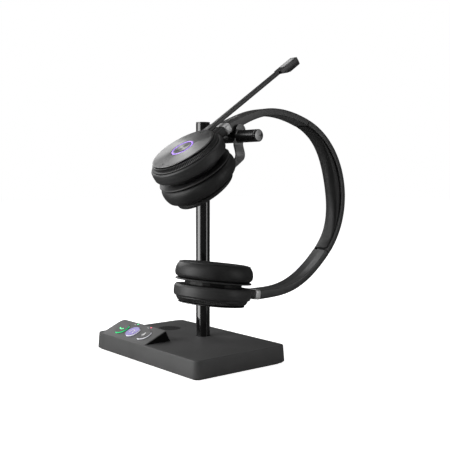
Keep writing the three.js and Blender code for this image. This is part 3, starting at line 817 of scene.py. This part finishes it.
def make_bracket():
    thickness, half_width, tab = BRACKET["thickness"], BRACKET["width"] / 2, BRACKET["tab"]
    line = bracket_line()
    top = line[0]

    def section(half):
        return centred_box(2 * half, thickness, min(0.35, half * 0.4), 3)

    rings = []
    for k in range(1, 10):
        drop = tab * (k / 10) * (k / 10)
        half = half_width * math.sqrt(1 - (1 - drop / tab) ** 2)
        rings.append([Vector((top.x - q.y, POST.y + q.x, top.y - drop)) for q in section(half)])
    for i, p in enumerate(line):
        along = (line[min(i + 1, len(line) - 1)] - line[max(i - 1, 0)]).normalized()
        ring = [Vector((p.x - along.y * q.y, POST.y + q.x, p.y + along.x * q.y)) for q in section(half_width)]
        if top.y - ring[0].z > tab + 0.3:
            rings.append(ring)
    bm = bmesh.new()
    skin(bm, rings)
    plate = build("bracket_plate", bm, ROW)
    low, high = BRACKET["collar"]
    collar = lathe("bracket_collar", [(6.3, low, 0.3), (7.85, low, 0.5), (7.85, high, 0.5), (6.3, high, 0.3)],
                   at(POST.x, POST.y, 0))
    fit(merge("hook_plate", [plate, grounded(collar)]), "bracket", "stand", "hook_bracket")


def make_arm():
    axis = at(0, POST.y, ARM_Z) @ ALONG_ARM
    start, end, radius = POST.x + 4, ARM_HIGH.x, ARM_RADIUS
    tube = lathe("arm_column", [(3.8, start, 0), (radius, start, 0), (radius, end, 0.2), (3.8, end, 0)], axis)
    fit(tube, "arm", "stand", "arm_tube")
    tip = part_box("arm_end_cap")[1].x / MM
    cap = lathe("arm_cap", [(0, 64, 0), (3.5, 64, 0), (3.5, end + 0.25, 0), (radius, end + 0.25, 0.1),
                            (radius, tip - 0.8, 0.2), (radius - 0.8, tip - 0.06, 0.2), (0, tip, 0)], axis)
    fit(cap, "cap", "stand", "arm_end_cap")


def make_saddle():
    """The leaning charging rest on the arm, and its two sprung contacts."""
    half, rise, lean, bed = 3.6, 6.5, 0.48, ARM_RADIUS + 0.1
    start = math.acos(half / bed)
    turns = [math.pi - start - (math.pi - 2 * start) * k / 10 for k in range(11)]
    bottom = [(bed * math.cos(a), bed * math.sin(a), 0) for a in turns]
    outline = rounded([(-half, rise - lean * half, 0.6), *bottom, (half, rise + lean * half, 0.6)])
    rest = prism("charging_rest", at(0, POST.y, ARM_Z), outline, 32.8, 45.6, 0.5)
    fit(rest, "black", "stand", "charging_saddle")
    place = at(0, POST.y, ARM_Z + rise) @ Matrix.Rotation(math.atan(lean), 4, "X")
    for i, x in enumerate((35.6, 42.8)):
        outline = box_outline(-1.2, 1.2, -0.5, 0.22, 0.2, 3)
        fit(prism(f"charging_contact_{i}", place, outline, x - 0.8, x + 0.8, 0.2), "brass", "stand")


# ---------- headset: crown ----------
CROWN = {"radius": 72.2, "plate": 1.8, "lip": 5.4, "wall": 1.5, "half": 57 * DEG, "width": 16}


def on_arc(x, radius, angle):
    """A point of the headband, in the headset's frame."""
    return Vector((x, CROWN_CENTRE + radius * math.cos(angle), radius * math.sin(angle)))


def make_crown():
    half = CROWN["width"] / 2
    outer, inner = CROWN["radius"], CROWN["radius"] - CROWN["lip"]
    floor_r = outer - CROWN["plate"]
    inside = half - CROWN["wall"]
    section = rounded([(-half, outer, 1.3), (half, outer, 1.3), (half, inner, 0.6), (inside, inner, 0.5),
                       (inside, floor_r, 0.4), (-inside, floor_r, 0.4), (-inside, inner, 0.5),
                       (-half, inner, 0.6)], 4)
    steps = 96
    angles = [CROWN["half"] * (2 * k / steps - 1) for k in range(steps + 1)]
    bm = bmesh.new()
    skin(bm, [[on_arc(p.x, p.y, angle) for p in section] for angle in angles])
    fit(grounded(build("crown_casing", bm, HEADSET)), "band", "headband", "crown_shell")


# ---------- headset: slider arms ----------
SLIDER = {"start": 57.8 * DEG, "thin": 5.6, "thick": 7.6, "handle_start": 48, "handle_end": 26,
          "tangent": 10 * DEG, "hollow": 0.9}
TONGUE = {"inner": 68, "outer": 69.7, "width": 11, "start": 34 * DEG, "end": 60 * DEG}
NECK_Z = -SWIVEL_DEPTH
NECK = {"width": 14, "height": 7.9, "start": 29.2, "end": 39.3}
RING = {"width": 16.6, "height": 8.2, "start": 39.6, "end": 44.8}


def slider_stations(side):
    """Points, inward normals and shares along the arm's outer edge, in the half's (u, v) plane."""
    to_half = HALF[side].inverted() @ CUP[side]

    def cup_point(y, z):
        return Vector((to_half @ (Vector((0, y, z)) * MM)).yz) / MM

    start = SLIDER["start"]
    first = Vector((CROWN_CENTRE + CROWN["radius"] * math.cos(start), CROWN["radius"] * math.sin(start)))
    last = cup_point(RING["end"] + 0.25, NECK_Z + SLIDER["thick"] / 2)
    across = (cup_point(0, -1) - cup_point(0, 0)).normalized()
    leaving = Vector((-math.sin(start), math.cos(start)))
    arriving = Vector((math.cos(SLIDER["tangent"]), math.sin(SLIDER["tangent"])))
    controls = [first, first + leaving * SLIDER["handle_start"], last + arriving * SLIDER["handle_end"], last]
    steps = 56
    out = []
    for k in range(steps + 1):
        t = k / steps
        weights = ((1 - t) ** 3, 3 * t * (1 - t) ** 2, 3 * t * t * (1 - t), t ** 3)
        point = sum((c * w for c, w in zip(controls, weights)), Vector((0, 0)))
        slopes = ((1 - t) ** 2, 2 * t * (1 - t), t * t)
        along = sum(((b - a) * w for a, b, w in zip(controls, controls[1:], slopes)), Vector((0, 0)))
        along.normalize()
        inward = Vector((-along.y, along.x))
        near_end = smooth(max(0.0, (t - 0.9) / 0.1))
        inward = (inward * (1 - near_end) + across * near_end).normalized()
        out.append((point, inward, t))
    return out


def make_slider(side):
    half = CROWN["width"] / 2
    stations = slider_stations(side)
    rings = []
    for point, inward, t in stations:
        deep = SLIDER["thin"] + (SLIDER["thick"] - SLIDER["thin"]) * t ** 1.2
        hollow = SLIDER["hollow"] * math.sin(math.pi * min(1, t * 1.02)) ** 0.6 if 0 < t < 0.98 else 0.02
        rim, dip = half - 1.6, deep - hollow * 0.35
        section = rounded([(-half, 0, 1.2), (half, 0, 1.2), (half, deep, 0.7), (rim, dip, 1.2),
                           (0, deep - hollow, 5), (-rim, dip, 1.2), (-half, deep, 0.7)], 4)
        rings.append([Vector((p.x, *(point + inward * p.y))) for p in section])
    bm = bmesh.new()
    skin(bm, rings)
    width = TONGUE["width"] / 2
    section = box_outline(-width, width, TONGUE["inner"], TONGUE["outer"], 0.3, 2)
    span, steps = TONGUE["end"] - TONGUE["start"], 20
    angles = [TONGUE["start"] + span * k / steps for k in range(steps + 1)]
    skin(bm, [[on_arc(p.x, p.y, angle) for p in section] for angle in angles])
    arm = build(side + "_arm_blade", bm, HALF[side])
    fit(arm, "band", side + "_arm", side + "_slider_arm")

    for i in range(5):
        point, inward, _ = stations[-5 - 2 * i]
        along = Vector((-inward.y, inward.x))
        corners = ((-0.2, 0.3), (0.2, 0.3), (0.2, -0.05), (-0.2, -0.05))
        outline = [point + along * a + inward * b for a, b in corners]
        mark = prism(f"{side}_size_mark_{i}", HALF[side], outline, -2.6, 2.6 if i % 2 == 0 else 0.4)
        fit(mark, "icon", side + "_arm", slot="silver_trim")

    bm = bmesh.new()
    outline = centred_box(RING["width"], RING["height"], 2.4, 6)
    bar_with_round_ends(bm, outline, RING["start"], RING["end"], 0.4, NECK_Z)
    fit(build(side + "_collar", bm, CUP[side]), "silver", side + "_arm", side + "_trim_ring")


# ---------- headset: ear cups ----------
KNURL = {"low": -5.3, "high": -2.0, "ribs": 132}


def housing(side):
    profile = [(20.5, -14.9, 0), (30.0, -14.9, 1.2), (31.0, -13.0, 1.5), (31.1, -9.5, 3), (30.8, -6.6, 0.8),
               (29.9, -5.6, 0.5), (28.6, -5.6, 0), (28.6, -13.3, 0), (20.5, -13.3, 0)]
    bowl = lathe(side + "_bowl", profile, CUP[side], 128, 6)
    bm = bmesh.new()
    outline = centred_box(NECK["width"], NECK["height"], 2.4, 6)
    add_bar(bm, outline, [(NECK["start"], NECK_Z, 1.16), (31.5, NECK_Z, 1.06), (33.5, NECK_Z, 1),
                          (NECK["end"] - 0.3, NECK_Z, 1), (NECK["end"], NECK_Z, 0.96)])
    neck = build(side + "_neck", bm, CUP[side])
    piece = merge(side + "_cup_housing", [bowl, neck])
    fit(piece, "shell", side + "_cup", side + "_ear_housing")


def knurled(name, matrix):
    """The tapered ring with fine ribs around its flank."""
    low, high = KNURL["low"], KNURL["high"]
    profile = [(24.3, low, 0), (28.9, low, 0.2), (28.9, -4.9, 0.1), (28.4, -4.2, 0), (27.8, -3.2, 0),
               (27.4, -2.4, 0.2), (26.9, high, 0.1), (24.3, high, 0)]
    points = rounded(profile, 2)
    ribbed = [25 < p.x < 28.7 and -4.6 < p.y < -2.3 for p in points]

    def ripple(i, angle):
        return 0.8 * (0.5 + 0.5 * math.cos(KNURL["ribs"] * angle)) - 0.6 if ribbed[i] else 0

    bm = bmesh.new()
    add_lathe(bm, points, KNURL["ribs"] * 4, ripple)
    return build(name, bm, matrix)


CUSHION = {
    "left": {"roll": 31.9, "tier": 25.4, "lean": 2.6, "crease": True},
    "right": {"roll": 31.6, "tier": 28.4, "lean": 0.0, "crease": False},
}


def cushion_profile(top, rim, roll, tier, crease):
    """The section's (radius, z) points, drawn in by what the filling swells, and which of them are sewn."""
    swell = 0.15
    roll, tier, rim = roll - swell, tier - swell, rim + swell
    if crease:
        ear_side = [(roll - 0.9, 0.56), (roll - 2.8, 0.68), (tier - 1.8, 0.75), (tier + 0.2, 0.84),
                    (tier, 0.95), (tier - 1.4, 1)]
    else:
        ear_side = [(roll - 0.3, 0.55), (roll - 0.9, 0.70), (roll - 1.9, 0.83), (tier + 0.2, 0.93),
                    (tier - 1.2, 0.985), (tier - 2.4, 1)]
    corners = [(17.0, 0.02), (20.5, 0), (24.5, 0), (28.2, 0), (roll - 0.6, 0.13), (roll, 0.34), *ear_side,
               (tier - 3.8, 1), (19.2, 0.96), (16.6, 0.8), (16.0, 0.55), (16.1, 0.25)]
    points = []
    for i in range(len(corners)):
        a, b, c, d = (Vector(corners[(i + k) % len(corners)]) for k in (-1, 0, 1, 2))
        for t in (0.0, 0.5):
            points.append(0.5 * (2 * b + (c - a) * t + (2 * a - 5 * b + 4 * c - d) * t * t
                                 + (3 * b - a - 3 * c + d) * t ** 3))
    sewn = {0, 1, 2, 3, 4, 5, 6, 16} if crease else {0, 1, 2, 3, 4, 5, 6}
    return [(p.x, top + (rim - top) * max(0, p.y)) for p in points], sewn


SIM_SCALE = 0.01
SIM_FRAMES = 18
CLOTH = {"quality": 6, "mass": 0.3, "tension_stiffness": 12, "compression_stiffness": 8,
         "bending_stiffness": 4, "vertex_group_mass": "stitching", "use_pressure": True}


def inflate(obj, held, pressure, cap):
    """Blows a skin up against its stitching with a cloth simulation, moving no point by more than cap mm."""
    rest = [v.co.copy() for v in obj.data.vertices]
    group = obj.vertex_groups.new(name="stitching")
    group.add(held, 1.0, "REPLACE")
    cloth = obj.modifiers.new("cloth", "CLOTH")
    for key, value in CLOTH.items():
        setattr(cloth.settings, key, value)
    cloth.settings.uniform_pressure_force = pressure
    cloth.settings.effector_weights.gravity = 0
    cloth.collision_settings.use_collision = False
    cloth.point_cache.frame_start = 1
    cloth.point_cache.frame_end = SIM_FRAMES
    for number in range(1, SIM_FRAMES + 1):
        SCENE.frame_set(number)
    settled = obj.evaluated_get(bpy.context.evaluated_depsgraph_get()).data.vertices
    limit = cap * SIM_SCALE
    moved_to = []
    for start, vert in zip(rest, settled):
        step = vert.co - start
        moved_to.append(start + step * min(1.0, limit / max(step.length, 1e-9)))
    obj.modifiers.remove(cloth)
    obj.vertex_groups.clear()
    SCENE.frame_set(1)
    for vert, place in zip(obj.data.vertices, moved_to):
        vert.co = place


def settle(name, bm, held, matrix, pressure, cap):
    """Builds a padded skin, inflates it and puts it in its frame."""
    obj = build(name, bm, ROW, SIM_SCALE)
    inflate(obj, held, pressure, cap)
    obj.data.transform(matrix @ Matrix.Scale(MM / SIM_SCALE, 4))
    finer = obj.modifiers.new("subdivision", "SUBSURF")
    finer.levels = finer.render_levels = 1
    return obj


def cushion(side, lip, rim):
    shape = CUSHION[side]
    top, segments = lip - 0.3, 96
    middle_rim = rim + min(shape["lean"], 1.6)
    profile, stitched = cushion_profile(top, middle_rim, shape["roll"], shape["tier"], shape["crease"])
    depth = middle_rim - top

    def lean(bm):
        for vert in bm.verts:
            share = max(0.0, (vert.co.z - top) / depth)
            vert.co.z += shape["lean"] * share ** 2 * (vert.co.x + vert.co.y) / (shape["roll"] * math.sqrt(2))
        return bm

    bm = bmesh.new()
    add_lathe(bm, [Vector(p) for p in profile], segments)
    lean(bm)
    held = [s * len(profile) + i for s in range(segments) for i in stitched]
    piece = settle(side + "_cushion", bm, held, CUP[side], 2.5, 0.55)
    fit(piece, "leather", side + "_cup", side + "_ear_cushion")

    seam_share, seam_r = (0.75, shape["tier"] - 1.9) if shape["crease"] else (0.93, shape["tier"] + 0.1)
    seam_z = top + depth * seam_share
    bm = bmesh.new()
    cord = box_outline(seam_r - 0.3, seam_r + 0.3, seam_z - 0.25, seam_z + 0.25, 0.1, 2)
    add_lathe(bm, cord, segments)
    fit(build(side + "_cushion_seam", lean(bm), CUP[side]), "black", side + "_cup", slot="leatherette")


def make_cup(side):
    matrix, body = CUP[side], side + "_cup"

    def lowest(node):
        """The lowest z that a CAD node reaches in the cup's frame."""
        return min((matrix.inverted() @ v.co).z for v in frame["nodes"][node].data.vertices) / MM

    lip, rim = lowest(side + "_lip_plate"), lowest(side + "_ear_cushion")
    housing(side)
    top = lip + 1.3
    plate = lathe(side + "_lip", [(14, lip, 0), (30.1, lip, 0.4), (30.8, lip + 0.6, 0.3), (30.4, top, 0.4),
                                  (14, top, 0)], matrix, 128)
    fit(plate, "shell", body, side + "_lip_plate")
    cover = lathe(side + "_driver_cloth", [(0, lip - 2.2, 0), (11, lip - 1.6, 3), (15.3, lip - 0.9, 0.2),
                                           (15.3, lip - 0.3, 0), (0, lip - 0.3, 0)], matrix, 64)
    fit(cover, "cloth", body, side + "_speaker_cover")
    cushion(side, lip, rim)


def make_right_disc():
    matrix = CUP["right"]
    fit(knurled("right_ribbed_ring", matrix), "ribs", "right_cup", "right_knurled_ring")
    disc = lathe("right_disc", [(0, -1.4, 0), (26, -1.4, 0.2), (26.7, -1.0, 0.2), (26.5, -0.45, 0.3),
                                (25.2, -0.25, 0.8), (12, 0.2, 8), (0, 0.35, 0)], matrix, 144)
    fit(disc, "disc", "right_cup", "right_outer_disc")


def make_left_disc():
    matrix = CUP["left"]
    disc = lathe("volume_disc", [(9.7, -1.2, 0), (26, -1.2, 0.2), (26.7, -0.95, 0.2),
                                 (26.5, -0.4, 0.3), (25.2, -0.25, 0.8), (17, 0.05, 5),
                                 (9.9, 0.25, 0.3), (9.7, 0, 0)], matrix, 144)
    fit(disc, "disc", "volume_rocker", "volume_rocker_disc")
    ring = lathe("answer_light", [(8.3, -2.6, 0), (9.4, -2.6, 0), (9.4, 0.25, 0.3), (8.3, 0.25, 0.3)], matrix)
    fit(ring, "violet", "volume_rocker", "button_light_ring")
    button = lathe("answer_face", [(0, -6.6, 0), (2.5, -6.6, 0), (2.5, -2.4, 0), (8, -2.4, 0.1),
                                   (8.05, 0.1, 0.3), (7.4, 0.3, 0.4), (5, 0.12, 3), (0, 0.05, 0)], matrix)
    fit(button, "disc", "answer_button", "answer_button")
    for i, (x, y) in enumerate(((-1.0, 22.5), (1.0, 22.5), (0, -22.5))):
        dot = lathe(f"volume_dot_{i}", [(0, -0.4, 0), (0.45, -0.4, 0), (0.42, 0.2, 0.1), (0, 0.22, 0)],
                    matrix @ at(x, y, 0), 20)
        fit(dot, "black", "volume_rocker")


# ---------- headset: boom ----------
BOOM = {"root": 27, "lug_end": 35.4, "start": 35.7, "head": 120.9, "tip": 145.6, "z": -2.4}


def make_boom():
    matrix = CUP["left"]
    ring = knurled("boom_ribbed_ring", matrix)
    bm = bmesh.new()
    bar_with_round_ends(bm, centred_box(8, 3.7, 1.4), BOOM["root"], BOOM["lug_end"], 0.5, BOOM["z"])
    lug = build("boom_lug", bm, matrix)
    fit(merge("boom_pivot", [ring, lug]), "ribs", "boom", "boom_ring")

    bm = bmesh.new()
    length, droop = BOOM["head"] - BOOM["start"], 0.35
    add_bar(bm, centred_box(4.8, 3.2, 0.7, 4),
            [(BOOM["start"] + length * k / 8, BOOM["z"] - droop * k / 8, 1) for k in range(9)])
    add_bar(bm, bow(1, 0, 345, 23), [(30, BOOM["z"], 1), (37, BOOM["z"], 1)])
    fit(build("boom_stem", bm, matrix), "boom", "boom", "boom_arm")

    top, bottom, neck, tip = -1.2, -8.2, BOOM["head"] + 0.3, BOOM["tip"]
    outline = rounded([(neck, -4.35, 0.3), (128, bottom + 1, 5), (131.6, bottom, 3), (tip - 0.2, bottom, 1.2),
                       (tip, -5, 2), (tip - 0.3, top, 0.8), (neck, top, 0.3)], 5)
    fit(prism("mic_body", matrix, outline, -4.2, 4.2, 0.9, 4), "boom", "boom", "mic_head")
    low, high = 127.6, 143.4
    oval = rounded([(-2.9, low, 2.7), (2.9, low, 2.7), (2.9, high, 2.7), (-2.9, high, 2.7)], 10)
    mesh_plate = raised("mic_mesh", oval, matrix, top - 0.8, top + 0.12)
    fit(mesh_plate, "silver", "boom", "mic_grille")


# ---------- headset: crown pad ----------
def make_crown_pad():
    half_angle, outer, rim, swell, half = 56 * DEG, 66.4, 0.25, 9.2, 7.0
    steps, across = 64, 12
    rings = []
    for k in range(steps + 1):
        share = 2 * k / steps - 1
        depth = rim + swell * math.cos(share * math.pi / 2) ** 2
        turns = [math.pi * (i / across - 0.5) for i in range(1, across)]
        ring = [(half * (1 - 2 * i / across), outer) for i in range(across + 1)]
        ring += [(half * math.sin(turn), outer - depth * math.cos(turn) ** 0.55) for turn in turns]
        rings.append([on_arc(x, r, half_angle * share) for x, r in ring])
    bm = bmesh.new()
    skin(bm, rings)
    count = 2 * across
    held = [k * count + i for k in range(steps + 1) for i in range(count)
            if i <= across or k in (0, steps)]
    pad = settle("crown_padding", bm, held, HEADSET, 2.0, 0.5)
    fit(pad, "leather", "headband", "crown_pad")


# ---------- the remaining CAD pieces ----------
CARRIED = {
    "black": ["base_bottom_plate", "crown_inner_plate", "left_cushion_mount", "right_cushion_mount",
              "left_speaker_driver", "right_speaker_driver", "keypad_carrier", "ringer_speaker"],
    "rubber": ["antislip_pad"],
    "steel": ["ballast_plate", "usb_socket", "post_foot_insert", "post_bolt", "arm_stud", "crown_spring_band",
              "left_swivel_pin", "right_swivel_pin", "battery", "mic_capsule"],
    "board": ["base_circuit_board", "headset_circuit_board"],
}

make_camera()
make_world()
make_floor()
make_lamps()
make_base()
make_post()
make_bracket()
make_arm()
make_saddle()
make_crown()
make_crown_pad()
for side_name in ("left", "right"):
    make_slider(side_name)
    make_cup(side_name)
make_right_disc()
make_left_disc()
make_boom()
for finish, names in CARRIED.items():
    for node_name in names:
        dress(frame["nodes"][node_name], finish)
